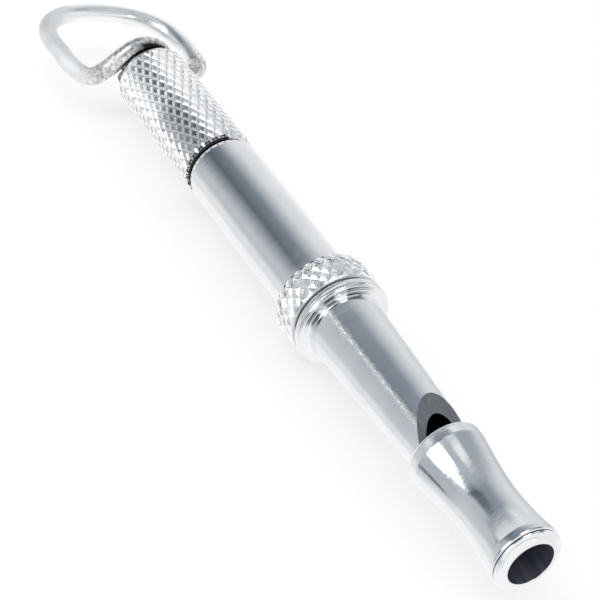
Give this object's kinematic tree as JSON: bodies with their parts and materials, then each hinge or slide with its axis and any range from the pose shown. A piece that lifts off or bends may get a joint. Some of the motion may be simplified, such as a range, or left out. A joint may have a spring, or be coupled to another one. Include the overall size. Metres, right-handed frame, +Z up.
{
  "type": "ultrasonic dog whistle",
  "caption": "Slim plated whistle: trumpet mouthpiece, slanted window in a tapered tube, knurled lock nut, screw-in tuner with a knurled cap, and a swivelling wire bail.",
  "frame": {"origin": "centre of the outline on the surface that the whistle lies on", "axes": "+X along the whistle towards the mouth, +Z up through the window, +Y across"},
  "size_m": [0.0936, 0.0191, 0.0105],
  "materials": {
    "plated_metal": "polished plate",
    "knurled_plate": "diamond-knurled plate",
    "plated_wire": "plated wire",
    "brass": "turned",
    "rubber": "matt"
  },
  "bodies": {
    "whistle": {"mouthpiece": "plated_metal", "windway_plug": "brass", "body_tube": "plated_metal"},
    "seal": {"piston_seal": "rubber"},
    "tuner": {"threaded_stem": "brass", "piston": "brass", "adjusting_barrel": "plated_metal", "end_cap": "knurled_plate", "bail_stud": "plated_metal"},
    "bail": {"wire_bail": "plated_wire"},
    "washer": {"lock_washer": "plated_metal"},
    "nut": {"lock_nut": "knurled_plate"}
  },
  "joints": [
    {"name": "tuning_travel", "type": "slide", "parent": "whistle", "child": "seal", "axis": [-1, 0, 0], "range_m": [0, 0.004]},
    {"name": "tuning_turn", "type": "hinge", "parent": "seal", "child": "tuner", "pos_m": [0, 0.00085, 0.00525], "axis": [-1, 0, 0], "range_deg": [0, 1800]},
    {"name": "bail_swivel", "type": "hinge", "parent": "tuner", "child": "bail", "pos_m": [-0.034, 0.00085, 0.00525], "axis": [-1, 0, 0], "continuous": true},
    {"name": "nut_lift", "type": "slide", "parent": "whistle", "child": "washer", "axis": [-1, 0, 0], "range_m": [0, 0.0004]},
    {"name": "nut_turn", "type": "hinge", "parent": "washer", "child": "nut", "pos_m": [0.0085, 0.00085, 0.00525], "axis": [-1, 0, 0], "range_deg": [0, 180]}
  ],
  "couplings": [
    {"joint": "tuning_turn", "follows": "tuning_travel", "rad_per_m": 7854},
    {"joint": "nut_turn", "follows": "nut_lift", "rad_per_m": 7854}
  ]
}
